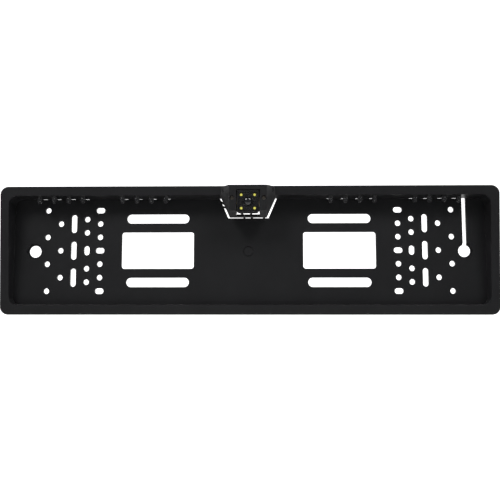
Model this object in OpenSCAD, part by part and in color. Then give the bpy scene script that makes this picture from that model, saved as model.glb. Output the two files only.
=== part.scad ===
// Licence plate frame with a tilting backup camera in its top bar.
// X runs along the plate, Z is up, and the front faces -Y. The rear face of the perforated back
// plate is at y = 0, and the origin is the centre of its field of mounting holes.

/* [Plate frame] */
// Overall width of the rim
frame_w = 541; // [538:0.5:546]
// Overall height of the rim
frame_h = 139.2; // [137.6:0.1:140]
// Width of the recess that takes the plate
recess_w = 522.6; // [522:0.2:524]
// Height of the recess
recess_h = 118.8; // [118.4:0.2:119.4]
// How far the rim's middle lies below the middle of the hole field
rim_drop = 1; // [0.5:0.1:1.5]
// Draft of the recess walls, from the rim to the back plate
recess_draft = 1; // [0.6:0.1:1.2]
// Corner radius outside
corner_r = 9; // [6:0.5:12]
// Corner radius of the recess
recess_r = 9.5; // [7:0.5:12]
// Wall thickness of the moulding
wall = 2.2; // [2:0.1:2.5]
// Thickness of the back plate
plate_t = 2.5; // [2:0.1:3]
// From the back plate's rear face to the rim's front face, at mid height
rim_forward = 15.8; // [15:0.1:17]
// Angle by which the rim leans forward at the top
rim_lean = 4.1; // [3.5:0.1:4.5]
// Depth of the hollow behind the back plate
rear_depth = 7.5; // [7.3:0.1:9]

/* [Hole field] */
// Half-distance between the innermost columns of holes
column_x = 164.8; // [164:0.1:166]
// Step from one column to the next
column_step = 14.65; // [14.5:0.05:14.8]
// Half a row step: holes lie on odd or even multiples of it
row_step = 14.95; // [14.7:0.05:15.1]
// Diameter of the round screw holes
hole_d = 6.2; // [5.8:0.1:7]
// Half-distance between the two windows
window_x = 100.4; // [99:0.2:102]
// Width of a window
window_w = 80; // [76:0.5:82]
// Height of a window
window_h = 40.5; // [38:0.5:42]
// Diameter of the cable holes at the ends
cable_hole_d = 13.2; // [10:0.1:15]

/* [Camera hood] */
// Half-width of the hood's front face
face_x = 20.2; // [20:0.1:21]
// Half-width of the hood where it meets the rim
base_x = 30.6; // [30:0.1:31]
// Front face of the hood
hood_front = 32; // [31.8:0.1:33]
// Underside of the hood
hood_bottom = 34; // [33.5:0.1:34.2]
// Hood wall thickness
hood_wall = 1.8; // [1.6:0.1:2]

/* [Camera] */
// Width and height of the square camera
cam_w = 23.6; // [23:0.1:23.8]
// Distance between neighbouring lamps
led_step = 14.3; // [13.5:0.1:14.5]
// Angle at which the camera looks down as supplied
cam_tilt = 8; // [6:0.5:9]
// Diameter of the camera's cable
cord_d = 2.4; // [2.2:0.1:2.4]

/* [Hidden] */
$fn = 48;

far = 400;                                // longer than anything it cuts
eps = 0.01;
rim_z = -rim_drop;
recess_top = rim_z + recess_h/2;
inner_top = rim_z + frame_h/2 - wall;     // underside of the outer top wall
function rim_y(z) = -rim_forward - z*tan(rim_lean);

// The round holes of one side, as [column, row], and the slots
round_holes = [for (row = [-3, -1, 1, 3]) [4, row], for (row = [-2, 0, 2]) [3, row],
    for (row = [-2, -1, 1, 2]) [0, row]];
split_rows = [20, 34.9];                  // heights of the holes in the second column
slot_tall = 20.2;
slot_short = 10.2;
slot_long = 69.4;
slot_long_h = 10.2;
slot_long_z = 35.3;
field_slot = 9.8;                         // length of the level slots in the first column
cable_slot_w = 4.2;
nut_pocket_r = 9.5;                       // six-sided pockets round the cable holes
nut_pocket_t = 1.4;
cutout_low = [22.3, 35.8];                // corners of the opening behind the camera
cutout_high = [31.8, recess_top];

// Plate lugs: the first of each group of four, and the step
lug_first = [89.6, 180.2];
lug_step = 15.75;
lug_w = 4.7;
lug_tip = 50.3;                           // height of its rounded lower end
lug_y = [-18.6, -16.1];
lug_window_w = 5.4;
lug_window_z = 57.3;

// Notch in the rim's bar that the camera turns in
notch_x = 21.5;
notch_z = 50;

// Hood
hood_top = 67.7;
hood_skirt = 10;                          // its rear edge, below the rim
hood_rise = 1.3;                          // how much higher its underside is at the rear
shoulder_z = 58.4;                        // above this the hood's sides are upright
chamfer_z = 40.2;
opening_x = 12.65;
opening_z = [34.7, 62.6];
bearing_x = [12.3, 20.4];                 // width of the bearing blocks
bearing_z = [45, 58];
cheek_t = 1.1;                            // walls beside the camera, above and below the blocks
lip_y = [-9.2, -7.8];                     // a lip on each cheek, behind the camera
lip_x = 10.8;
hood_screw_at = [25.6, 63.2];
clamp_screw_at = [17, 54];
clamp_head = [-27.6, -26];                // front and rear of the clamp screws' heads

// Camera, in its own frame: the pivot axis is at the origin and -Y is forward
pivot = [0, -20.8, 51.2];
cam_front = -9.8;
cam_chin = 0.9;                           // how much further the case reaches down than up
cam_split = 5.2;                          // where the rear cover starts
cam_back = 8.2;
cam_r = 3;
cam_bore = 19.4;                          // inner width
window_in = 20.6;
pin_r = 2.5;
pin_end = 15.2;
fit = 0.05;                               // running clearance, on the radius
barrel_r = 4.6;
washer_r = 4.8;
cover_screw_at = 8.9;
gland_z = 3.4;
gland_end = 12.5;

// Cable
cord_r = cord_d/2;
coil_r = 13.2;                            // mean radius of the turns
coil_rows = 3;
coil_layers = 2;
coil_at = [8, 3.5, -6];
tie_t = 0.7;
tie_gap = 0.2;
tie_w = 3.2;
// The cable's own solid starts just clear of the gland's tip
cable_from = gland_end + 0.1;
cable_start = pivot + [0, cable_from*cos(cam_tilt) - gland_z*sin(cam_tilt),
    cable_from*sin(cam_tilt) + gland_z*cos(cam_tilt)];
// From the gland, through the opening, one loop to the left and one below, then to the coil
cable_route = [cable_start, [-0.8, -3.8, 56.6], [-3.4, -0.7, 56.4], [-7, 0.8, 55.8],
    [-11.8, 1.6, 54.6], [-16.4, 2.2, 52.8], [-20.6, 2.4, 51.4], [-24.9, 2.4, 51.6],
    [-29.1, 2.4, 53.8], [-33.4, 2.4, 56.2], [-38.2, 2.4, 57.1], [-42.5, 2.4, 56.1],
    [-44.8, 2.4, 52.4], [-43.9, 2.4, 48.1], [-40.2, 2.4, 45.8], [-36.3, 2.4, 46.5],
    [-32.6, 2.4, 49], [-28.4, 2.4, 49.3], [-23.8, 2.4, 47.9], [-19, 2.4, 46.5],
    [-14.1, 2.4, 45.3], [-9.5, 2.4, 43.4], [-6, 2.4, 39.9], [-4.1, 2.4, 34.8],
    [-3.7, 2.4, 29.9], [-2.4, 2.4, 26], [0.6, 2.4, 23.6], [4.2, 2.4, 23.7], [7.1, 2.4, 26.2],
    [7.4, 2.4, 30.3], [4.9, 2.4, 34.8], [2.7, 2.4, 39.6], [4.2, 2.4, 44.2], [8.6, 2.4, 46.2],
    [13.2, 2.4, 44.6], [15.8, 2.4, 40.2], [18.3, 2.4, 34.6], [21.6, 2.4, 28],
    [24.6, 2.4, 20], [24.7, 2.3, 8], [23.6, 2.3, -6]];
tail_route = [[-8.8, 4.7, -6], [-8.4, 4.3, 2], [-7.6, 3.5, 10]];
plug_at = [-7.6, 3.5, 10];
plug_size = [10.4, 5.4, 13];

// ---- helpers ----

// Extrudes a shape drawn in X and Z from y0 back to y1
module deep(y0, y1) {
    translate([0, y1, 0]) rotate([90, 0, 0]) linear_extrude(y1 - y0) children();
}

module rounded(w, h, r) {
    square([w - 2*r, h], center = true);
    square([w, h - 2*r], center = true);
    for (x = [-1, 1], z = [-1, 1])
        translate([x*(w/2 - r), z*(h/2 - r)]) circle(r);
}

module slot(w, h) {
    if (w > h) {
        square([w - h, h], center = true);
        for (x = [-1, 1]) translate([x*(w - h)/2, 0]) circle(h/2);
    } else {
        square([w, h - w], center = true);
        for (z = [-1, 1]) translate([0, z*(h - w)/2]) circle(w/2);
    }
}

// Everything in front of the rim's face, or of a face `back` behind it
module ahead_of_rim(back = 0) {
    translate([0, back - rim_forward, 0]) rotate([rim_lean, 0, 0])
        translate([-far, -far, -far]) cube([2*far, far, 2*far]);
}

module cylinder_y(r, y0, y1) {
    translate([0, y1, 0]) rotate([90, 0, 0]) cylinder(r = r, h = y1 - y0);
}

module cylinder_x(r, x0, x1) {
    translate([x0, 0, 0]) rotate([0, 90, 0]) cylinder(r = r, h = x1 - x0);
}

module in_camera() {
    translate(pivot) rotate([cam_tilt, 0, 0]) children();
}

// A solid between two outlines with the same number of corners
module loft(front, y0, back, y1) {
    n = len(front);
    polyhedron(
        points = concat([for (p = front) [p[0], y0, p[1]]], [for (p = back) [p[0], y1, p[1]]]),
        faces = concat([[for (i = [n - 1:-1:0]) i]], [[for (i = [0:n - 1]) n + i]],
            [for (i = [0:n - 1]) let (j = (i + 1)%n) [i, j, n + j, n + i]]));
}

// Smooth points along a route: a spline through its points, cut into even pieces
function spline(p, i, t) = let (n = len(p) - 1, a = p[max(i - 1, 0)], b = p[i], c = p[i + 1],
    d = p[min(i + 2, n)]) 0.5*(2*b + (c - a)*t + (2*a - 5*b + 4*c - d)*t*t
    + (3*b - a - 3*c + d)*t*t*t);
function smooth(p, k) = [for (i = [0:len(p) - 2]) for (s = [0:k - 1]) spline(p, i, s/k),
    p[len(p) - 1]];
function unit(v) = v/norm(v);
function ahead(p, i) = unit(p[min(i + 1, len(p) - 1)] - p[max(i - 1, 0)]);

// A round cord along a route, with eight sides and a ring at each point
module cord(route, k) {
    p = smooth(route, k);
    n = len(p);
    sides = 8;
    polyhedron(
        points = [for (i = [0:n - 1]) let (t = ahead(p, i), u = unit(cross(t, [0.1, 1, 0.2])),
            w = cross(t, u)) for (s = [0:sides - 1])
            p[i] + cord_r*(cos(360*s/sides)*u + sin(360*s/sides)*w)],
        faces = concat([[for (s = [0:sides - 1]) s]],
            [[for (s = [sides - 1:-1:0]) (n - 1)*sides + s]],
            [for (i = [0:n - 2]) for (s = [0:sides - 1]) let (r = (s + 1)%sides)
                [i*sides + s, (i + 1)*sides + s, (i + 1)*sides + r, i*sides + r]]));
}

// ---- plate frame ----

module column_holes() {
    for (h = round_holes)
        translate([column_x + h[0]*column_step, h[1]*row_step]) circle(hole_d/2);
    for (z = split_rows, side = [-1, 1])
        translate([column_x + column_step, side*z]) circle(hole_d/2);
    translate([column_x + column_step, 0]) slot(hole_d, slot_short);
    for (row = [-2, 0, 2])
        translate([column_x + 2*column_step, row*row_step]) slot(hole_d, slot_tall);
    for (row = [-3, 0, 3])
        translate([column_x, row*row_step]) slot(field_slot, hole_d);
    translate([window_x, 0]) rounded(window_w, window_h, 3);
    for (side = [-1, 1])
        translate([window_x, side*slot_long_z]) slot(slot_long, slot_long_h);
    translate([237.1, -rim_drop]) circle(cable_hole_d/2);
}

module back_plate_holes() {
    column_holes();
    mirror([1, 0]) column_holes();
    translate([237.5 - cable_slot_w/2, 0]) square([cable_slot_w, recess_top - 0.5]);
    polygon([[-cutout_low[0], cutout_low[1]], [cutout_low[0], cutout_low[1]], cutout_high,
        [-cutout_high[0], cutout_high[1]]]);
}

function lug_places() = [for (side = [-1, 1], first = lug_first, i = [0:3])
    side*(first + i*lug_step)];

module lug() deep(lug_y[0], lug_y[1]) {
    translate([-lug_w/2, lug_tip + lug_w/2]) square([lug_w, recess_top + 1 - lug_tip - lug_w/2]);
    translate([0, lug_tip + lug_w/2]) circle(lug_w/2);
}

// The tapered recess that takes the licence plate
module recess() {
    front = 30;
    grow = recess_draft*(front - rim_forward)/(rim_forward - plate_t);
    translate([0, 0, rim_z]) hull() {
        deep(-front, -front + eps) rounded(recess_w + 2*grow, recess_h + 2*grow, recess_r + grow);
        deep(-plate_t - eps, -plate_t)
            rounded(recess_w - 2*recess_draft, recess_h - 2*recess_draft, recess_r - recess_draft);
    }
}

module plate_frame() color([0.13, 0.13, 0.14]) {
    difference() {
        union() {
            difference() {
                translate([0, 0, rim_z]) deep(-40, rear_depth) rounded(frame_w, frame_h, corner_r);
                ahead_of_rim();
                recess();
                translate([0, 0, rim_z]) deep(0, far)
                    rounded(frame_w - 2*wall, frame_h - 2*wall, corner_r - wall);
                // the channel behind the rim, open at the back
                difference() {
                    translate([0, 0, rim_z]) deep(-39, 1)
                        rounded(frame_w - 2*wall, frame_h - 2*wall, corner_r - wall);
                    translate([0, 0, rim_z]) deep(-far, far)
                        rounded(recess_w + 2*wall, recess_h + 2*wall, recess_r + wall);
                    ahead_of_rim(wall);
                }
            }
            channel_ribs();
            rear_ribs();
            // the back plate runs on up to the top wall behind the camera
            translate([-notch_x - 1, -plate_t, recess_top - 2])
                cube([2*notch_x + 2, plate_t, inner_top - recess_top + 3]);
            for (x = lug_places()) translate([x, 0, 0]) lug();
        }
        deep(-plate_t - 1, 1) back_plate_holes();
        // the space that the camera turns in
        translate([-notch_x, -far, notch_z]) cube([2*notch_x, far - plate_t, inner_top - notch_z]);
        for (x = lug_places())
            translate([x - lug_window_w/2, -plate_t - 0.5, lug_window_z])
                cube([lug_window_w, plate_t + 1.5, recess_top + 0.3 - lug_window_z]);
        for (side = [-1, 1]) translate([side*237.1, 0, -rim_drop])
            deep(-plate_t - 1, -plate_t + nut_pocket_t)
                polygon([for (a = [0:60:300]) nut_pocket_r*[cos(a), sin(a)]]);
        for (x = [-1, 1]) translate([x*hood_screw_at[0], 0, hood_screw_at[1]])
            cylinder_y(1.4, -39, 1);
        // a shallow gate ring in the middle of the back plate
        translate([0, 0, rim_z]) difference() {
            cylinder_y(5.6, -plate_t - 1, -plate_t + 0.2);
            cylinder_y(5, -plate_t - 2, 1);
        }
    }
}

// Ties from the outer wall to the recess wall, across the channel
module channel_ribs() {
    intersection() {
        difference() {
            translate([0, 0, rim_z]) deep(-39, 0)
                rounded(frame_w - wall, frame_h - wall, corner_r - wall/2);
            translate([0, 0, rim_z]) deep(-far, far)
                rounded(recess_w + wall, recess_h + wall, recess_r + wall/2);
            ahead_of_rim(wall/2);
        }
        union() {
            for (x = [-234, -174, -83, -53, 53, 83, 174, 234])
                translate([x - 0.8, -far, -far]) cube([1.6, 2*far, 2*far]);
            for (z = [-40, 40])
                translate([-far, -far, z - 0.8]) cube([2*far, 2*far, 1.6]);
        }
    }
}

// Ribs that stand on the rear face, between the columns of holes
module rear_ribs() {
    for (side = [-1, 1]) {
        for (i = [-0.72, 0.5, 1.5, 2.5, 3.5])
            translate([side*(column_x + i*column_step) - 0.75, -1, -56])
                cube([1.5, rear_depth + 1, 110]);
        for (z = [-50.5, 46])
            translate([side*window_x - 48, -1, z]) cube([96, rear_depth + 1, 1.5]);
    }
}

// ---- hood ----

function hood_outline(low_x, low_z, side_x, side_z, top_z) = [[-low_x, low_z], [low_x, low_z],
    [side_x, side_z], [side_x, top_z], [-side_x, top_z], [-side_x, side_z]];

chamfer_y = -hood_front + (chamfer_z - hood_bottom);
base_y = -19;
face_outline = hood_outline(face_x - 0.4, chamfer_z, face_x, shoulder_z, hood_top);
mid_x = face_x + (base_x - face_x)*(chamfer_y + hood_front)/(base_y + hood_front);
mid_outline = hood_outline(face_x - 0.2, hood_bottom, mid_x, shoulder_z, hood_top + 0.1);
base_outline = hood_outline(face_x, hood_bottom + hood_rise, base_x, shoulder_z, hood_top + 0.2);
function inset(p) = [for (q = p) [q[0] - sign(q[0])*hood_wall,
    q[1] + (q[1] < 50 ? hood_wall : q[1] > 60 ? -hood_wall : 0)]];

module hood_solid(cut) {
    front = cut ? inset(face_outline) : face_outline;
    mid = cut ? inset(mid_outline) : mid_outline;
    base = cut ? inset(base_outline) : base_outline;
    shift = cut ? hood_wall : 0;
    loft(front, -hood_front + shift, mid, chamfer_y + shift);
    loft(mid, chamfer_y + shift, base, base_y + shift);
    deep(base_y + shift, cut ? 1 : -hood_skirt) polygon(base);
}

// A block between two distances from the middle, on one side
module beside(side, x, y, z) {
    translate([side > 0 ? x[0] : -x[1], y[0], z[0]]) cube([x[1] - x[0], y[1] - y[0], z[1] - z[0]]);
}

// The bearing block beside the camera, with a cheek and its lip above and below it
module hood_bearing(side) {
    beside(side, bearing_x, [-hood_front + 1, pivot[1]], bearing_z);
    for (z = [[39.8, bearing_z[0] + 0.2], [bearing_z[1] - 0.2, hood_top - 1]])
        beside(side, [bearing_x[0], bearing_x[0] + cheek_t], [-hood_front + 1, lip_y[1]], z);
    for (z = [[43, 50.4], [54.2, hood_top - 1]])
        beside(side, [lip_x, bearing_x[0] + cheek_t], lip_y, z);
}

module camera_hood() color([0.14, 0.14, 0.15]) {
    difference() {
        union() {
            difference() {
                hood_solid(false);
                hood_solid(true);
                translate([-opening_x, -hood_front - 1, opening_z[0]])
                    cube([2*opening_x, 8, opening_z[1] - opening_z[0]]);
            }
            for (side = [-1, 1]) {
                hood_bearing(side);
                translate([side*hood_screw_at[0], 0, hood_screw_at[1]])
                    cylinder_y(2.6, -25, rim_y(hood_screw_at[1]) - 0.4);
            }
        }
        // the rim's bar stands behind the hood's upper part, except in its notch
        difference() {
            union() {
                for (side = [-1, 1])
                    beside(side, [notch_x - 0.3, far], [-far, far], [recess_top - 1.2, 80]);
                beside(1, [-far, far], [-far, far], [hood_top - hood_wall - 0.1, 80]);
            }
            ahead_of_rim(-0.05);
        }
        for (side = [-1, 1]) {
            translate([side*clamp_screw_at[0], 0, clamp_screw_at[1]]) {
                cylinder_y(2.4, -hood_front - 1, clamp_head[1]);
                cylinder_y(1.1, -28, 0);
            }
            translate([0, pivot[1], pivot[2]])
                cylinder_x(pin_r + fit, side > 0 ? 12 : -16.4, side > 0 ? 16.4 : -12);
            translate([side*hood_screw_at[0], 0, hood_screw_at[1]])
                cylinder_y(0.95, -24.4, 0);
        }
    }
}

module hood_screws() color("silver") {
    for (side = [-1, 1]) translate([side*hood_screw_at[0], 0, hood_screw_at[1]]) {
        y = rim_y(hood_screw_at[1]) + wall + 0.25;
        difference() {
            cylinder_y(2.3, y, y + 1.6);
            for (a = [0, 90]) translate([0, y + 1.6, 0]) rotate([0, a, 0])
                cube([2.6, 1.6, 0.6], center = true);
        }
        cylinder_y(0.95, y - 6, y + 0.5);
    }
}

module tilt_clamp(side) color([0.16, 0.16, 0.17]) {
    difference() {
        beside(side, bearing_x, [pivot[1] + 0.3, pivot[1] + 5.5], bearing_z + [0.4, -0.4]);
        translate([0, pivot[1], pivot[2]])
            cylinder_x(pin_r + fit, side > 0 ? 12 : -16.4, side > 0 ? 16.4 : -12);
        translate([side*clamp_screw_at[0], 0, clamp_screw_at[1]]) {
            cylinder_y(1.1, -30, 0);
            translate([-2.05, pivot[1] + 3.8, -2.05]) cube([4.1, 5, 4.1]);
        }
    }
}

module tilt_clamp_left() tilt_clamp(-1);
module tilt_clamp_right() tilt_clamp(1);

module clamp_screw(side) color("goldenrod") {
    translate([side*clamp_screw_at[0], 0, clamp_screw_at[1]]) {
        difference() {
            cylinder_y(2, clamp_head[0], clamp_head[1]);
            translate([0, clamp_head[0], 0]) cube([5, 1.4, 0.6], center = true);
        }
        cylinder_y(1, clamp_head[1] - 0.5, pivot[1] + 5.2);
    }
}

module clamp_screw_left() clamp_screw(-1);
module clamp_screw_right() clamp_screw(1);

module clamp_nut(side) color("goldenrod") {
    translate([side*clamp_screw_at[0], 0, clamp_screw_at[1]]) difference() {
        translate([-2, pivot[1] + 3.8, -2]) cube([4, 1.6, 4]);
        cylinder_y(1, -30, 0);
    }
}

module clamp_nut_left() clamp_nut(-1);
module clamp_nut_right() clamp_nut(1);

// ---- camera ----

module at_corners(d) {
    for (x = [-d, d], z = [-d, d]) translate([x, 0, z]) children();
}

module camera_housing() color([0.16, 0.16, 0.17]) in_camera() {
    difference() {
        deep(cam_front, cam_split) translate([0, -cam_chin/2])
            rounded(cam_w, cam_w + cam_chin, cam_r);
        deep(cam_front - 1, cam_front + 1.4) rounded(window_in + 0.2, window_in + 0.2, 1.8);
        difference() {
            deep(cam_front + 1, cam_split + 1) rounded(cam_bore, cam_bore, 1.5);
            at_corners(cover_screw_at) cylinder_y(2, -3, cam_split);
            for (x = [-1, 1]) translate([x > 0 ? 8.2 : -9.8, -3.2, -3.2])
                cube([1.6, 6.1, 6.4]);
        }
        at_corners(cover_screw_at) cylinder_y(0.8, -2, cam_split + 1);
        for (x = [-1, 1]) cylinder_x(pin_r, x > 0 ? 9.2 : -12, x > 0 ? 12 : -9.2);
    }
}

module pivot_pin(side) color("silver") in_camera() {
    cylinder_x(pin_r, side > 0 ? 9.2 : -pin_end, side > 0 ? pin_end : -9.2);
}

module pivot_pin_left() pivot_pin(-1);
module pivot_pin_right() pivot_pin(1);

module pivot_washers() color("goldenrod") in_camera() {
    for (side = [-1, 1]) difference() {
        cylinder_x(washer_r, side > 0 ? cam_w/2 : -cam_w/2 - 0.4, side > 0 ? cam_w/2 + 0.4 : -cam_w/2);
        cylinder_x(pin_r + 0.1, -far, far);
    }
}

module front_window() color([0.12, 0.12, 0.13, 0.6]) in_camera() {
    difference() {
        deep(cam_front + 0.15, cam_front + 1.4) rounded(window_in, window_in, 1.7);
        cylinder_y(barrel_r + 0.1, cam_front - 1, 0);
    }
}

module led_board() color("darkgreen") in_camera() {
    difference() {
        deep(-6.9, -5.9) rounded(18.8, 18.8, 1);
        cylinder_y(barrel_r + 0.5, -8, 0);
    }
}

module led(x, z) color([0.9, 0.88, 0.4]) in_camera() translate([x*led_step/2, 0, z*led_step/2]) {
    cylinder_y(1.9, -7.3, -6.9);
    cylinder_y(1.55, -8.2, -7.1);
}

module led_1() led(-1, 1);
module led_2() led(1, 1);
module led_3() led(-1, -1);
module led_4() led(1, -1);

module lens_barrel() color([0.1, 0.1, 0.11]) in_camera() {
    difference() {
        union() {
            cylinder_y(barrel_r, cam_front - 0.2, -6);
            cylinder_y(3.6, -6.5, 0.4);
        }
        cylinder_y(3.6, cam_front - 1, cam_front + 2.6);
        cylinder_y(2.6, cam_front, -3.4);
        cylinder_y(3, -4, 1);
    }
}

module front_lens() color([0.5, 0.55, 0.7, 0.5]) in_camera() {
    intersection() {
        cylinder_y(3.6, cam_front, cam_front + 2.6);
        translate([0, cam_front + 4.9, 0]) sphere(4.8, $fn = 64);
    }
}

module rear_lens() color([0.5, 0.55, 0.7, 0.5]) in_camera() {
    cylinder_y(3, -3.4, -1.4);
}

module ir_filter() color([0.7, 0.3, 0.3, 0.6]) in_camera() {
    deep(0.45, 0.95) square(6, center = true);
}

module lens_holder() color([0.1, 0.1, 0.1]) in_camera() {
    difference() {
        union() {
            deep(-0.4, 3) square(11.4, center = true);
            cylinder_y(4.8, -5.2, 0);
        }
        cylinder_y(3.6, -6, 0.45);
        deep(0.45, 0.95) square(6, center = true);
        cylinder_y(2.7, 0.9, 2);
        deep(1, 4) square(9, center = true);
    }
}

module image_sensor() color("dimgray") in_camera() {
    deep(1.9, 3) square(7, center = true);
}

module main_board() color("darkgreen") in_camera() {
    difference() {
        deep(3, 4) rounded(18.8, 18.8, 1);
        at_corners(cover_screw_at) cylinder_y(2.2, 0, 5);
        for (d = [-1, 1]) translate([6.9*d, 0, -4.4*d]) cylinder_y(0.7, 2, 5);
    }
}

module board_spacers() color("gold") in_camera() {
    for (d = [-1, 1]) translate([6.9*d, 0, -4.4*d]) difference() {
        cylinder_y(1.2, -5.9, 3);
        cylinder_y(0.6, -2, 4);
    }
}

module board_screws() color("silver") in_camera() {
    for (d = [-1, 1]) translate([6.9*d, 0, -4.4*d]) difference() {
        union() {
            cylinder_y(1.2, 4, 4.8);
            cylinder_y(0.6, -1, 4.2);
        }
        translate([0, 4.9, 0]) cube([3, 0.8, 0.4], center = true);
    }
}

module housing_seal() color([0.25, 0.25, 0.25]) in_camera() {
    difference() {
        deep(cam_split, cam_split + 0.6) rounded(22.6, 22.6, 2.5);
        deep(cam_split - 1, cam_split + 2) rounded(20, 20, 1.8);
        at_corners(cover_screw_at) cylinder_y(1.1, 0, cam_split + 2);
    }
}

module rear_cover() color([0.16, 0.16, 0.17]) in_camera() {
    difference() {
        deep(cam_split, cam_back) rounded(cam_w, cam_w, cam_r);
        deep(cam_split - 1, cam_split + 0.6) difference() {
            rounded(22.6, 22.6, 2.5);
            rounded(20, 20, 1.8);
        }
        deep(cam_split - 1, cam_split + 1.4) rounded(15.6, 15.6, 1.5);
        at_corners(cover_screw_at) {
            cylinder_y(1, 0, cam_back + 1);
            cylinder_y(1.8, cam_back - 1.1, cam_back + 1);
        }
        translate([0, 0, gland_z]) cylinder_y(2, 0, cam_back + 1);
    }
}

module cover_screws() color("silver") in_camera() {
    at_corners(cover_screw_at) difference() {
        union() {
            cylinder_y(1.65, cam_back - 1.1, cam_back - 0.1);
            cylinder_y(0.8, -1, cam_back - 0.6);
        }
        for (a = [0, 90]) translate([0, cam_back - 0.1, 0]) rotate([0, a, 0])
            cube([2, 1, 0.5], center = true);
    }
}

module cable_gland() color([0.12, 0.12, 0.12]) in_camera() translate([0, 0, gland_z]) {
    cylinder_y(2.7, cam_back, cam_back + 1.2);
    cylinder_y(2, cam_split + 1.5, cam_back + 0.5);
    translate([0, cam_back + 1, 0]) rotate([-90, 0, 0])
        cylinder(r1 = 2.3, r2 = 1.7, h = gland_end - cam_back - 1);
}

// ---- cable ----

module camera_cable() color([0.08, 0.08, 0.08]) {
    cord(cable_route, 2);
    cord(tail_route, 2);
}

module cable_coil() color([0.08, 0.08, 0.08]) translate(coil_at) rotate([90, 0, 0])
    rotate_extrude($fn = 64) translate([coil_r, 0])
        rounded(coil_rows*cord_d, coil_layers*cord_d, cord_r);

module cable_tie() color([0.1, 0.1, 0.1])
    translate(coil_at + [0, 0, -coil_r]) {
        in_w = coil_rows*cord_d + 2*tie_gap;
        in_h = coil_layers*cord_d + 2*tie_gap;
        translate([-tie_w/2, 0, 0]) rotate([90, 0, 90]) linear_extrude(tie_w) difference() {
            square([in_h + 2*tie_t, in_w + 2*tie_t], center = true);
            square([in_h, in_w], center = true);
        }
        translate([-2.3, -1.6, -in_w/2 - tie_t - 2.6]) cube([4.6, 3.6, 2.7]);
    }

module plug_shell() color([0.85, 0.83, 0.76]) translate(plug_at) difference() {
    union() {
        translate([-plug_size[0]/2, -plug_size[1]/2, 0]) cube(plug_size);
        translate([-1.8, plug_size[1]/2 - 0.5, 2]) cube([3.6, 1.2, 8]);
    }
    for (x = [-3.45, -1.15, 1.15, 3.45]) translate([x - 0.75, -0.75, 4])
        cube([1.5, 1.5, plug_size[2]]);
}

module plug_contacts() color("gold") translate(plug_at) {
    for (x = [-3.45, -1.15, 1.15, 3.45]) translate([x - 0.5, -0.5, 4]) difference() {
        cube([1, 1, 8.4]);
        translate([0.25, 0.25, 2]) cube([0.5, 0.5, 10]);
    }
}

plate_frame();
camera_hood();
hood_screws();
tilt_clamp_left();
tilt_clamp_right();
clamp_screw_left();
clamp_screw_right();
clamp_nut_left();
clamp_nut_right();
camera_housing();
pivot_pin_left();
pivot_pin_right();
pivot_washers();
front_window();
led_board();
led_1();
led_2();
led_3();
led_4();
lens_barrel();
front_lens();
rear_lens();
ir_filter();
lens_holder();
image_sensor();
main_board();
board_spacers();
board_screws();
housing_seal();
rear_cover();
cover_screws();
cable_gland();
camera_cable();
cable_coil();
cable_tie();
plug_shell();
plug_contacts();
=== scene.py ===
import math

import bmesh
import bpy
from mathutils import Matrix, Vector


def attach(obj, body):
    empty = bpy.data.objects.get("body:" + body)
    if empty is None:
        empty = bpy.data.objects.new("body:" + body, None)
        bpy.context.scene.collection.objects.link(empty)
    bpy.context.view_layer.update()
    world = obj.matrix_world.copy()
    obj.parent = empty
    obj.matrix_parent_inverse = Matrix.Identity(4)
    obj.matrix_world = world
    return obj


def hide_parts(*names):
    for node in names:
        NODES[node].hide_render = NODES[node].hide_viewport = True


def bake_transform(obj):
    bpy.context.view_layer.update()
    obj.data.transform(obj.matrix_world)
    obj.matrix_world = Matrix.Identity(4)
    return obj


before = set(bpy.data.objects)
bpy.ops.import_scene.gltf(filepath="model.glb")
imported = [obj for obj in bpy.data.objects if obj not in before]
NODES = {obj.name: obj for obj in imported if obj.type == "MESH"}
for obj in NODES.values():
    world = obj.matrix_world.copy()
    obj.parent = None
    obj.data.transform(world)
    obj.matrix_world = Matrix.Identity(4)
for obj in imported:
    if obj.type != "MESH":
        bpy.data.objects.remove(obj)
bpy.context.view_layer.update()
MM = 0.001

# ---- the design's own dimensions, in metres ----

RIM_Y = -15.8 * MM              # rim's front face at mid height
RIM_LEAN = math.radians(4.1)    # the rim leans forward at the top
RIM_Z = -1 * MM                 # middle of the rim
PLATE_FRONT = -2.5 * MM         # front face of the perforated back plate
RECESS_HALF = Vector((261.3, 59.4)) * MM
PIVOT = Vector((0, -20.8, 51.2)) * MM
TILT = math.radians(8)          # the camera looks down as supplied
CABLE_D = 2.4 * MM
LUGS = [first + step * 15.75 * MM for first in (89.6 * MM, 180.2 * MM) for step in range(4)]
LUG_FACE = -18.6 * MM
GATE_DEPTH = 0.2 * MM           # ring groove in the middle of the plate, in the design
GATE_SEEN_DEPTH = 1.1 * MM
GATE_MIDDLE = 5.3 * MM          # radii half way across the groove and just past it
GATE_REACH = 5.7 * MM
RIM_EDGE_OUT = 0.9 * MM         # rounding of the rim's outer and inner edges
RIM_EDGE_IN = 1.3 * MM
HOOD_FACE = -31.5 * MM          # everything ahead of this is the hood's face
# Bumps on each lug's face: outward offset, height, radius of the ball and of its outline
LUG_BUMPS = [(0.5 * MM, 54.2 * MM, 6 * MM, 1.8 * MM), (0.4 * MM, 51.4 * MM, 4.4 * MM, 1.1 * MM)]
LAMP_BACK = -6.9 * MM           # in the camera's own frame, as are the lens's places
LAMP_STEP = 14.3 * MM
LENS_R = 3.55 * MM
LENS_EDGE = -9.95 * MM          # where the lens's dome starts
LENS_TOP = -11.1 * MM


# ---- camera ----

def set_camera():
    data = bpy.data.cameras.new("camera")
    data.lens = 42.4
    data.sensor_width = 36
    data.clip_start = 0.01
    view = bpy.data.objects.new("camera", data)
    view.location = (0.0138, -0.650, -0.058)
    view.rotation_euler = (math.radians(95.154), math.radians(0.01), math.radians(1.068))
    bpy.context.scene.collection.objects.link(view)
    bpy.context.scene.camera = view


set_camera()


# ---- mesh helpers ----

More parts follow.
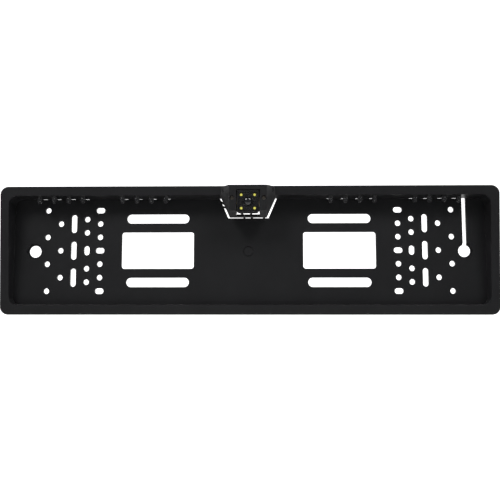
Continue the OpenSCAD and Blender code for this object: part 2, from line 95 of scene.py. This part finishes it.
def dome(mesh, middle, radius, reach):
    """Adds a shallow cap of the given ball radius and outline radius, facing -Y."""
    inside = math.sqrt(radius * radius - reach * reach)
    rings, sides = 5, 20
    top = mesh.verts.new(middle + Vector((0, inside - radius, 0)))
    before = None
    for i in range(1, rings + 1):
        r = reach * i / rings
        y = inside - math.sqrt(radius * radius - r * r)
        ring = [mesh.verts.new(middle + Vector((r * math.cos(2 * math.pi * k / sides), y,
                                                r * math.sin(2 * math.pi * k / sides))))
                for k in range(sides)]
        for k in range(sides):
            n = (k + 1) % sides
            if before:
                mesh.faces.new((before[k], before[n], ring[n], ring[k]))
            else:
                mesh.faces.new((top, ring[n], ring[k]))
        before = ring
    mesh.faces.new(before)
    bmesh.ops.recalc_face_normals(mesh, faces=mesh.faces)


def new_object(name, mesh):
    piece = bpy.data.objects.new(name, mesh)
    bpy.context.scene.collection.objects.link(piece)
    return piece


def in_camera(x, y, z):
    """A point of the camera's own frame, tilted about its pivot, in the row frame."""
    turned_y = y * math.cos(TILT) - z * math.sin(TILT)
    turned_z = y * math.sin(TILT) + z * math.cos(TILT)
    return PIVOT + Vector((x, turned_y, turned_z))


def spline(through, per_step):
    """Catmull-Rom curve through the points."""
    last = len(through) - 1
    out = []
    for i in range(last):
        a, b = through[max(i - 1, 0)], through[i]
        c, d = through[i + 1], through[min(i + 2, last)]
        for step in range(per_step):
            t = step / per_step
            out.append(0.5 * (2 * b + (c - a) * t + (2 * a - 5 * b + 4 * c - d) * t * t
                              + (3 * b - a - 3 * c + d) * t ** 3))
    out.append(through[last].copy())
    return out


def tube(name, path, radius, sides=12):
    """A closed tube along a path."""
    mesh = bmesh.new()
    side = Vector((0.1, 1, 0.2))
    rings = []
    last = len(path) - 1
    for i, point in enumerate(path):
        along = (path[min(i + 1, last)] - path[max(i - 1, 0)]).normalized()
        side = (side - along * side.dot(along)).normalized()
        other = along.cross(side)
        turn = [2 * math.pi * k / sides for k in range(sides)]
        rings.append([mesh.verts.new(point + radius * (math.cos(a) * side + math.sin(a) * other))
                      for a in turn])
    for low, high in zip(rings, rings[1:]):
        for k in range(sides):
            n = (k + 1) % sides
            mesh.faces.new((low[k], low[n], high[n], high[k]))
    mesh.faces.new(rings[0][::-1])
    mesh.faces.new(rings[-1])
    bmesh.ops.recalc_face_normals(mesh, faces=mesh.faces)
    data = bpy.data.meshes.new(name)
    mesh.to_mesh(data)
    mesh.free()
    data.shade_smooth()
    data.set_sharp_from_angle(angle=math.radians(50))
    return new_object(name, data)


def applied(piece):
    """Bakes a piece's modifiers into its mesh."""
    graph = bpy.context.evaluated_depsgraph_get()
    done = bpy.data.meshes.new_from_object(piece.evaluated_get(graph))
    piece.modifiers.clear()
    piece.data = done


def moulded(node, name, radius_of, body, finishes, widest=1.6 * MM, segments=3, shape=None):
    """A copy of a CAD shape with its edges rounded, as a mould leaves them.

    radius_of(edge) gives an edge's rounding radius in metres, or 0 to leave it sharp;
    finishes are the materials of the faces and of the rounded edges; shape(mesh) may
    move points of the copy first."""
    work = bmesh.new()
    work.from_mesh(NODES[node].data)
    if shape:
        shape(work)
    bmesh.ops.remove_doubles(work, verts=work.verts, dist=1e-6)
    bmesh.ops.dissolve_limit(work, angle_limit=math.radians(0.3), verts=work.verts,
                             edges=work.edges)
    weight = work.edges.layers.float.new("bevel_weight_edge")
    for edge in work.edges:
        if edge.is_manifold and edge.calc_face_angle() > math.radians(28):
            edge[weight] = radius_of(edge) / widest
    for face in work.faces:
        face.material_index = 0
    data = bpy.data.meshes.new(name)
    work.to_mesh(data)
    work.free()
    for finish in finishes:
        data.materials.append(finish)
    piece = new_object(name, data)
    bevel = piece.modifiers.new("rounding", "BEVEL")
    bevel.material = 1
    bevel.limit_method = "WEIGHT"
    bevel.offset_type = "OFFSET"
    bevel.width = widest
    bevel.segments = segments
    bevel.use_clamp_overlap = True
    bevel.harden_normals = False
    applied(piece)
    piece.data.shade_smooth()
    piece.data.set_sharp_from_angle(angle=math.radians(38))
    shading = piece.modifiers.new("flat_faces_stay_flat", "WEIGHTED_NORMAL")
    shading.keep_sharp = True
    applied(piece)
    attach(piece, body)
    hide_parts(node)
    return piece


# ---- materials ----

class Shader:
    """A node material round one Principled shader."""

    def __init__(self, name, colour, roughness, **more):
        self.material = bpy.data.materials.new(name)
        self.material.use_nodes = True
        self.nodes = self.material.node_tree.nodes
        self.links = self.material.node_tree.links
        self.shader = self.nodes["Principled BSDF"]
        self.shader.inputs["Base Color"].default_value = (*colour, 1)
        self.shader.inputs["Roughness"].default_value = roughness
        for socket, value in more.items():
            self.shader.inputs[socket.replace("_", " ")].default_value = value
        self.place = self.nodes.new("ShaderNodeTexCoord").outputs["Object"]

    def noise(self, scale, detail=2.0, rough=0.5, stretch=None):
        where = self.place
        if stretch:
            mapping = self.nodes.new("ShaderNodeMapping")
            mapping.inputs["Scale"].default_value = stretch
            self.links.new(where, mapping.inputs["Vector"])
            where = mapping.outputs["Vector"]
        texture = self.nodes.new("ShaderNodeTexNoise")
        texture.inputs["Scale"].default_value = scale
        texture.inputs["Detail"].default_value = detail
        texture.inputs["Roughness"].default_value = rough
        self.links.new(where, texture.inputs["Vector"])
        return texture.outputs["Fac"]

    def ramp(self, value, low, high, start=0.35, end=0.65):
        """Maps a noise's middle range to low..high."""
        node = self.nodes.new("ShaderNodeMapRange")
        node.inputs["From Min"].default_value = start
        node.inputs["From Max"].default_value = end
        node.inputs["To Min"].default_value = low
        node.inputs["To Max"].default_value = high
        self.links.new(value, node.inputs["Value"])
        return node.outputs["Result"]

    def colours(self, value, *stops):
        """A colour ramp over a value, from stops of (position, colour)."""
        node = self.nodes.new("ShaderNodeValToRGB")
        ramp = node.color_ramp
        while len(ramp.elements) < len(stops):
            ramp.elements.new(0.5)
        for element, (position, colour) in zip(ramp.elements, stops):
            element.position = position
            element.color = (*colour, 1)
        self.links.new(value, node.inputs["Fac"])
        self.links.new(node.outputs["Color"], self.shader.inputs["Base Color"])

    def roughness(self, value, low, high):
        self.links.new(self.ramp(value, low, high), self.shader.inputs["Roughness"])

    def bump(self, value, distance, strength=1.0, under=None):
        node = self.nodes.new("ShaderNodeBump")
        node.inputs["Distance"].default_value = distance
        node.inputs["Strength"].default_value = strength
        self.links.new(value, node.inputs["Height"])
        if under:
            self.links.new(under, node.inputs["Normal"])
        self.links.new(node.outputs["Normal"], self.shader.inputs["Normal"])
        return node.outputs["Normal"]


def grained(name, colour, roughness, grain=1400, depth=0.012 * MM, flow=0.03 * MM, ior=1.5):
    """Injection-moulded plastic: a fine spark-eroded grain over faint flow and sink marks."""
    s = Shader(name, colour, roughness, Specular_IOR_Level=0.5, IOR=ior)
    broad = s.noise(22, 3)
    fine = s.noise(grain, 2, 0.6)
    dark = tuple(c * 0.86 for c in colour)
    light = tuple(c * 1.16 for c in colour)
    s.colours(broad, (0.3, dark), (0.7, light))
    s.roughness(fine, roughness - 0.06, roughness + 0.06)
    waves = s.bump(s.noise(55, 2), flow)
    s.bump(fine, depth, under=waves)
    return s.material


FRAME_PLASTIC = grained("frame_abs", (0.0125, 0.0125, 0.0138), 0.46)
# The rounded edges' copy of the frame plastic is glossier and a little lighter than the faces:
# the lighter colour is a painted highlight along the edges.
FRAME_EDGE_HIGHLIGHT = grained("frame_abs_edges_painted_highlight", (0.014, 0.014, 0.0152), 0.25, depth=0.004 * MM, ior=1.8)
HOOD_PLASTIC = grained("hood_abs", (0.0158, 0.0158, 0.0168), 0.44, grain=1700)
POLISHED = grained("polished_abs", (0.016, 0.016, 0.0172), 0.1, depth=0.001 * MM,
                   flow=0.002 * MM, ior=1.9)
# The rounded edges' copy of the hood plastic is glossier and slightly lighter than the faces:
# the lighter colour is a painted highlight along the edges.
HOOD_EDGE_HIGHLIGHT = grained("hood_abs_edges_painted_highlight", (0.0165, 0.0165, 0.0175), 0.3, depth=0.004 * MM)
CAMERA_PLASTIC = grained("camera_abs", (0.020, 0.020, 0.0212), 0.36, grain=2600,
                         depth=0.006 * MM)
# The rounded edges' copy of the camera plastic is glossier and much lighter than the faces: the
# lighter colour is a painted highlight, the bright outline round the camera's face.
CAMERA_EDGE_HIGHLIGHT = grained("camera_abs_edges_painted_highlight", (0.032, 0.032, 0.0335), 0.2, depth=0.003 * MM)


def jacket():
    """Extruded cable jacket: satin, with a fine grain and a little dust."""
    s = Shader("cable_jacket", (0.012, 0.011, 0.0115), 0.42, Specular_IOR_Level=0.45)
    s.colours(s.noise(160, 3), (0.3, (0.009, 0.008, 0.0085)), (0.75, (0.019, 0.0165, 0.0165)))
    s.roughness(s.noise(900), 0.34, 0.52)
    s.bump(s.noise(2400, 2), 0.01 * MM)
    return s.material


def rubber(name, colour=(0.012, 0.012, 0.0125)):
    s = Shader(name, colour, 0.62, Specular_IOR_Level=0.35)
    s.colours(s.noise(300, 3), (0.3, colour), (0.75, tuple(c * 1.7 for c in colour)))
    s.roughness(s.noise(700), 0.54, 0.7)
    s.bump(s.noise(3000, 2), 0.01 * MM)
    return s.material


def nylon(name, colour, roughness=0.4, waxy=0.0):
    s = Shader(name, colour, roughness, Subsurface_Weight=waxy, Subsurface_Scale=0.001)
    s.colours(s.noise(180, 3), (0.3, tuple(c * 0.9 for c in colour)), (0.7, colour))
    s.roughness(s.noise(900), roughness - 0.07, roughness + 0.07)
    s.bump(s.noise(1500, 2), 0.008 * MM)
    return s.material


def metal(name, colour, roughness, stretch=None, scale=1200):
    """Plated or turned metal, with fine tool lines."""
    s = Shader(name, colour, roughness, Metallic=1.0)
    lines = s.noise(scale, 3, 0.6, stretch)
    s.colours(s.noise(400, 4), (0.3, tuple(c * 0.75 for c in colour)), (0.7, colour))
    s.roughness(lines, roughness - 0.08, roughness + 0.12)
    s.bump(lines, 0.006 * MM)
    return s.material


def solder_mask(name, colour):
    """Circuit board: solder mask with copper tracks standing faintly proud."""
    s = Shader(name, colour, 0.28, Coat_Weight=0.5, Coat_Roughness=0.2)
    texture = s.nodes.new("ShaderNodeTexBrick")
    texture.inputs["Scale"].default_value = 260
    texture.inputs["Mortar Size"].default_value = 0.05
    texture.inputs["Color1"].default_value = (*colour, 1)
    texture.inputs["Color2"].default_value = (*(c * 1.25 for c in colour), 1)
    texture.inputs["Mortar"].default_value = (*(c * 1.9 for c in colour), 1)
    s.links.new(s.place, texture.inputs["Vector"])
    s.links.new(texture.outputs["Color"], s.shader.inputs["Base Color"])
    s.roughness(s.noise(900), 0.22, 0.36)
    s.bump(texture.outputs["Fac"], 0.02 * MM)
    return s.material


def clear(name, tint, roughness, wave=0.0015 * MM, transmission=1.0, ior=1.49):
    """Clear moulded or polished glass, with faint waviness."""
    s = Shader(name, tint, roughness, Transmission_Weight=transmission, IOR=ior)
    s.bump(s.noise(120, 1), wave)
    s.roughness(s.noise(300), roughness, roughness + 0.02)
    return s.material


def smoked(name, tint, roughness, density):
    """Smoked acrylic sheet, thin enough to see the lamps through."""
    s = Shader(name, tint, roughness, Alpha=density)
    s.roughness(s.noise(300), roughness, roughness + 0.05)
    s.bump(s.noise(120, 1), 0.0006 * MM)
    return s.material


def lamp_phosphor():
    """Yellow phosphor of a white lamp under a clear dome; the lamp is unlit, and the phosphor's
    glow is painted light.
    """
    s = Shader("lamp_phosphor", (0.86, 0.80, 0.09), 0.35, Coat_Weight=0.6, Coat_Roughness=0.05)
    s.colours(s.noise(2600, 3), (0.3, (0.72, 0.64, 0.06)), (0.62, (0.93, 0.9, 0.2)))
    # Painted glow: the unlit phosphor glows to look as bright as it does under the studio light.
    s.shader.inputs["Emission Color"].default_value = (1.0, 0.94, 0.16, 1)
    s.shader.inputs["Emission Strength"].default_value = 1.45
    s.bump(s.noise(3200, 2), 0.01 * MM)
    return s.material


JACKET = jacket()
RUBBER = rubber("gland_rubber")
SEAL = rubber("seal_rubber", (0.03, 0.03, 0.032))
TIE_NYLON = nylon("tie_nylon", (0.015, 0.015, 0.016))
PLUG_NYLON = nylon("plug_nylon", (0.72, 0.69, 0.58), 0.38, 0.25)
STEEL = metal("zinc_steel", (0.62, 0.62, 0.64), 0.3)
BRASS = metal("brass", (0.71, 0.55, 0.28), 0.28)
BRONZED = metal("bronzed_steel", (0.62, 0.55, 0.46), 0.36)
BOARD = solder_mask("board_mask", (0.012, 0.03, 0.016))
LED_BOARD = solder_mask("lamp_board_mask", (0.026, 0.026, 0.027))
BARREL = metal("black_anodised", (0.03, 0.03, 0.032), 0.34, (1, 8, 1), 700)
WINDOW = smoked("front_window_acrylic", (0.042, 0.042, 0.0445), 0.12, 0.35)
LENS = clear("lens_glass", (0.86, 0.9, 0.97), 0.0, wave=0.0003 * MM)
COATED = clear("coated_lens_glass", (0.034, 0.035, 0.040), 0.0, wave=0.0002 * MM,
               transmission=0.5, ior=1.85)
FILTER = clear("filter_glass", (0.85, 0.35, 0.38), 0.02)
CHIP = nylon("chip_package", (0.02, 0.02, 0.022), 0.3)
LAMP = lamp_phosphor()
LAMP_BODY = nylon("lamp_package", (0.022, 0.021, 0.018), 0.3)

FINISHES = {
    "camera_hood": HOOD_PLASTIC,
    "hood_screws": STEEL,
    "tilt_clamp_left": FRAME_PLASTIC,
    "tilt_clamp_right": FRAME_PLASTIC,
    "clamp_screw_left": BRONZED,
    "clamp_screw_right": BRONZED,
    "clamp_nut_left": BRASS,
    "clamp_nut_right": BRASS,
    "camera_housing": CAMERA_PLASTIC,
    "pivot_pin_left": STEEL,
    "pivot_pin_right": STEEL,
    "pivot_washers": BRASS,
    "front_window": WINDOW,
    "led_board": LED_BOARD,
    "lens_barrel": BARREL,
    "rear_lens": LENS,
    "ir_filter": FILTER,
    "lens_holder": BARREL,
    "image_sensor": CHIP,
    "main_board": BOARD,
    "board_spacers": BRASS,
    "board_screws": STEEL,
    "housing_seal": SEAL,
    "rear_cover": CAMERA_PLASTIC,
    "cover_screws": STEEL,
    "cable_gland": RUBBER,
    "cable_tie": TIE_NYLON,
    "plug_shell": PLUG_NYLON,
    "plug_contacts": BRASS,
}


def finish_with(piece, material):
    piece.data.materials.clear()
    piece.data.materials.append(material)


for node, material in FINISHES.items():
    finish_with(NODES[node], material)


# ---- cable ----

def points(*rows):
    """Points given in millimetres."""
    return [Vector(row) * MM for row in rows]


COIL_AT = Vector((8, 3.5, -6)) * MM
GLAND_TIP = in_camera(0, 12.6 * MM, 3.4 * MM)
CABLE_ROUTE = [GLAND_TIP] + points(
    (-0.8, -3.8, 56.6), (-3.4, -0.7, 56.4), (-7, 0.8, 55.8), (-11.8, 1.6, 54.6),
    (-16.4, 2.2, 52.8), (-20.6, 2.4, 51.4), (-24.9, 2.4, 51.6), (-29.1, 2.4, 53.8),
    (-33.4, 2.4, 56.2), (-38.2, 2.4, 57.1), (-42.5, 2.4, 56.1), (-44.8, 2.4, 52.4),
    (-43.9, 2.4, 48.1), (-40.2, 2.4, 45.8), (-36.3, 2.4, 46.5), (-32.6, 2.4, 49),
    (-28.4, 2.4, 49.3), (-23.8, 2.4, 47.9), (-19, 2.4, 46.5), (-14.1, 2.4, 45.3),
    (-9.5, 2.4, 43.4), (-6, 2.4, 39.9), (-4.1, 2.4, 34.8), (-3.7, 2.4, 29.9),
    (-2.4, 2.4, 26), (0.6, 2.4, 23.6), (4.2, 2.4, 23.7), (7.1, 2.4, 26.2),
    (7.4, 2.4, 30.3), (4.9, 2.4, 34.8), (2.7, 2.4, 39.6), (4.2, 2.4, 44.2),
    (8.6, 2.4, 46.2), (13.2, 2.4, 44.6), (15.8, 2.4, 40.2), (18.3, 2.4, 34.6),
    (21.6, 2.4, 28), (24.6, 2.4, 20), (24.7, 2.3, 8), (23.6, 2.3, -6))
TAIL_ROUTE = points((-8.8, 4.7, -6), (-8.4, 4.3, 2), (-7.6, 3.5, 10))


def coil_turns(turns=5.5, per_turn=28):
    """Wound inwards beside the back plate, over to a second layer, and outwards again."""
    outer, inner, layer = 15.6 * MM, 10.8 * MM, 2.4 * MM
    out = []
    for i in range(1, int(turns * per_turn)):
        t = i / per_turn
        across = min(max((t - 2.4) / 0.6, 0), 1)
        across = across * across * (3 - 2 * across)
        if t < 2:
            radius = outer - layer * t
        elif t < 3:
            radius = inner - 1.1 * MM * math.sin(math.pi * (t - 2))
        else:
            radius = inner + layer * (t - 3)
        angle = -2 * math.pi * t
        out.append(COIL_AT + Vector((radius * math.cos(angle), (across - 0.5) * layer,
                                     radius * math.sin(angle))))
    return out


def make_cable():
    path = spline(CABLE_ROUTE, 5) + coil_turns() + spline(TAIL_ROUTE, 6)
    cable = tube("cable", path, CABLE_D / 2)
    finish_with(cable, JACKET)
    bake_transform(cable)
    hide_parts("camera_cable", "cable_coil")


make_cable()


# ---- plate frame ----

def rim_plane(z):
    return RIM_Y - z * math.tan(RIM_LEAN)


def frame_radius(edge):
    """How far each edge of the plate frame is rounded: most at the rim, and in the corner
    between the back plate and the recess's wall."""
    a, b = (v.co for v in edge.verts)
    at_rim = all(abs(p.y - rim_plane(p.z)) < 0.05 * MM for p in (a, b))
    middle = (a + b) / 2
    x, z = abs(middle.x), abs(middle.z - RIM_Z)
    concave = edge.calc_face_angle_signed() < 0
    if at_rim:
        inner = x < RECESS_HALF.x + 3 * MM and z < RECESS_HALF.y + 3 * MM
        return RIM_EDGE_IN if inner else RIM_EDGE_OUT
    in_corner = x > RECESS_HALF.x - 9 * MM or z > RECESS_HALF.y - 1.3 * MM
    at_plate = all(abs(p.y - PLATE_FRONT) < 0.03 * MM for p in (a, b))
    by_lugs = middle.z > 0 and LUGS[0] - 8 * MM < x < LUGS[-1] + 14 * MM
    if at_plate and in_corner and concave and not by_lugs:
        return 1.5 * MM
    if concave:
        return 0
    return 0.22 * MM


def deeper_gate(mesh):
    """Makes the gate ring in the middle of the back plate as deep and wide as it looks."""
    for point in mesh.verts:
        across = Vector((point.co.x, point.co.z - RIM_Z))
        if across.length < GATE_REACH and point.co.y > PLATE_FRONT - 0.1 * MM:
            if abs(point.co.y - PLATE_FRONT - GATE_DEPTH) < 0.05 * MM:
                point.co.y = PLATE_FRONT + GATE_SEEN_DEPTH
            if across.length > GATE_MIDDLE:
                across *= 1.04
            point.co.x, point.co.z = across.x, across.y + RIM_Z


frame_piece = moulded("plate_frame", "plate_frame_moulding", frame_radius, "frame",
                      (FRAME_PLASTIC, FRAME_EDGE_HIGHLIGHT), shape=deeper_gate)


def lug_bumps():
    """Two polished catch bumps on the face of every plate lug."""
    mesh = bmesh.new()
    for side in (-1, 1):
        for x in LUGS:
            for out, z, radius, reach in LUG_BUMPS:
                middle = Vector((side * (x + out), LUG_FACE, z))
                dome(mesh, middle, radius, reach)
    data = bpy.data.meshes.new("lug_bumps")
    mesh.to_mesh(data)
    mesh.free()
    data.shade_smooth()
    piece = new_object("lug_bumps", data)
    finish_with(piece, POLISHED)
    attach(piece, "frame")


lug_bumps()


# ---- hood and camera ----

def hood_radius(edge):
    if edge.calc_face_angle_signed() < 0:
        return 0
    at_face = all(v.co.y < HOOD_FACE for v in edge.verts)
    return 0.5 * MM if at_face else 0.3 * MM


def housing_radius(edge):
    return 0 if edge.calc_face_angle_signed() < 0 else 0.35 * MM


hood = moulded("camera_hood", "hood_moulding", hood_radius, "frame", (HOOD_PLASTIC, HOOD_EDGE_HIGHLIGHT),
               widest=0.6 * MM)
housing = moulded("camera_housing", "camera_case", housing_radius, "camera",
                  (CAMERA_PLASTIC, CAMERA_EDGE_HIGHLIGHT), widest=0.5 * MM)


# ---- lamps and lens ----

def turned(name, x, z, profile, finishes, sides=40):
    """A body of revolution in the camera, from (radius, y, finish of the band before it)."""
    mesh = bmesh.new()
    rings = []
    for radius, y, _ in profile:
        count = 1 if radius == 0 else sides
        rings.append([mesh.verts.new(in_camera(x + radius * math.cos(2 * math.pi * k / sides), y,
                                               z + radius * math.sin(2 * math.pi * k / sides)))
                      for k in range(count)])
    for low, high, (_, _, finish) in zip(rings, rings[1:], profile[1:]):
        for k in range(sides):
            n = (k + 1) % sides
            corners = [low[k % len(low)], low[n % len(low)], high[n % len(high)],
                       high[k % len(high)]]
            face = mesh.faces.new(list(dict.fromkeys(corners)))
            face.material_index = finish
    bmesh.ops.recalc_face_normals(mesh, faces=mesh.faces)
    data = bpy.data.meshes.new(name)
    mesh.to_mesh(data)
    mesh.free()
    data.shade_smooth()
    data.set_sharp_from_angle(angle=math.radians(35))
    for finish in finishes:
        data.materials.append(finish)
    piece = new_object(name, data)
    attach(piece, "camera")
    return piece


def cap(radius, edge, front, finish, steps=8):
    """The profile of a shallow dome, from its edge at y = edge to its top at y = front."""
    rise = edge - front
    ball = (radius * radius + rise * rise) / (2 * rise)
    out = []
    for i in range(1, steps + 1):
        r = radius * (1 - i / steps)
        out.append((r, front + ball - math.sqrt(ball * ball - r * r), finish))
    return out


def lamp(number, x, z):
    """A lamp: flange, black package and a round window of phosphor."""
    flange_r, body_r, window_r, chamfer = 1.9 * MM, 1.55 * MM, 1.36 * MM, 0.08 * MM
    flange_top = LAMP_BACK - 0.4 * MM
    body_top = LAMP_BACK - 0.94 * MM
    profile = [(0, LAMP_BACK, 0), (flange_r, LAMP_BACK, 0), (flange_r, flange_top + chamfer, 0),
               (flange_r - chamfer, flange_top, 0), (body_r, flange_top, 0),
               (body_r, body_top + chamfer, 0), (body_r - chamfer, body_top, 0),
               (window_r, body_top, 0)]
    profile += cap(window_r, body_top, body_top - 0.32 * MM, 1)
    piece = turned("lamp_%d" % number, x, z, profile, (LAMP_BODY, LAMP))
    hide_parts("led_%d" % number)


for number, (x, z) in enumerate(((-1, 1), (1, 1), (-1, -1), (1, -1)), start=1):
    lamp(number, x * LAMP_STEP / 2, z * LAMP_STEP / 2)

lens_profile = [(0, -7.4 * MM, 0), (2.4 * MM, -7.55 * MM, 0), (LENS_R, -8.1 * MM, 0),
                (LENS_R, LENS_EDGE, 0)]
lens_profile += cap(LENS_R, LENS_EDGE, LENS_TOP, 0, steps=14)
lens = turned("lens_dome", 0, 0, lens_profile, (COATED,), sides=64)
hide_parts("front_lens")


# ---- stage and light ----

def plain(name, colour, glow):
    """A matt stage colour that glows white by the given strength."""
    material = bpy.data.materials.new(name)
    material.use_nodes = True
    shader = material.node_tree.nodes["Principled BSDF"]
    shader.inputs["Base Color"].default_value = (*colour, 1)
    shader.inputs["Roughness"].default_value = 0.9
    shader.inputs["Emission Color"].default_value = (1, 1, 1, 1)
    shader.inputs["Emission Strength"].default_value = glow
    return material


def sheet(name, corners, material):
    """A flat four-cornered piece of the stage."""
    mesh = bpy.data.meshes.new(name)
    mesh.from_pydata(corners, [], [(0, 1, 2, 3)])
    piece = new_object(name, mesh)
    finish_with(piece, material)


FLOOR_Z = -0.45
BACK_Y = 1.9
WIDE = 6.0


def floor_white():
    """Pale floor that goes over into the glowing backdrop behind the object."""
    material = plain("floor_white", (0.8, 0.8, 0.8), 0)
    nodes, links = material.node_tree.nodes, material.node_tree.links
    place = nodes.new("ShaderNodeTexCoord")
    split = nodes.new("ShaderNodeSeparateXYZ")
    glow = nodes.new("ShaderNodeMapRange")
    glow.inputs["From Min"].default_value = 0.1
    glow.inputs["From Max"].default_value = 0.65
    glow.inputs["To Max"].default_value = 1.0
    links.new(place.outputs["Object"], split.inputs["Vector"])
    links.new(split.outputs["Y"], glow.inputs["Value"])
    links.new(glow.outputs["Result"],
              nodes["Principled BSDF"].inputs["Emission Strength"])
    return material


sheet("floor", [(-WIDE, -2.5, FLOOR_Z), (WIDE, -2.5, FLOOR_Z), (WIDE, BACK_Y, FLOOR_Z),
                (-WIDE, BACK_Y, FLOOR_Z)], floor_white())
sheet("backdrop", [(-WIDE, BACK_Y, FLOOR_Z), (WIDE, BACK_Y, FLOOR_Z), (WIDE, BACK_Y, 3.0),
                   (-WIDE, BACK_Y, 3.0)], plain("backdrop_white", (0.85, 0.85, 0.85), 1.05))


def softbox(name, place, size, watts, height=None, aim=(0, 0, 0), spread=50):
    """An area light, square unless a height is given; spread is in degrees."""
    data = bpy.data.lights.new(name, "AREA")
    data.shape = "RECTANGLE"
    data.size = size
    data.size_y = height or size
    data.energy = watts
    data.spread = math.radians(spread)
    light = bpy.data.objects.new(name, data)
    light.location = place
    light.rotation_euler = (Vector(aim) - Vector(place)).to_track_quat("-Z", "Y").to_euler()
    bpy.context.scene.collection.objects.link(light)


softbox("key_left", (-0.75, -0.75, 0.95), 0.45, 0.62)
softbox("key_right", (0.70, -0.75, 0.98), 0.45, 0.45)
softbox("overhead_strip", (0, -0.16, 1.2), 1.3, 0.75, 0.12, (0, -0.01, -0.06))
softbox("table_bounce", (0, -0.30, -0.30), 0.7, 0.2, 0.2, (0, 0, -0.07), 180)
softbox("side_left", (-1.3, -0.17, 0.1), 0.5, 2.2, 0.3, (0, -0.02, 0.02), 180)
softbox("side_right", (1.3, -0.17, 0.1), 0.5, 2.0, 0.3, (0, -0.02, 0.02), 180)

world = bpy.data.worlds.new("studio")
bpy.context.scene.world = world
world.use_nodes = True
sky = world.node_tree.nodes["Background"]
sky.inputs["Color"].default_value = (0.94, 0.96, 1, 1)
sky.inputs["Strength"].default_value = 0.10
bpy.context.scene.view_settings.view_transform = "Standard"
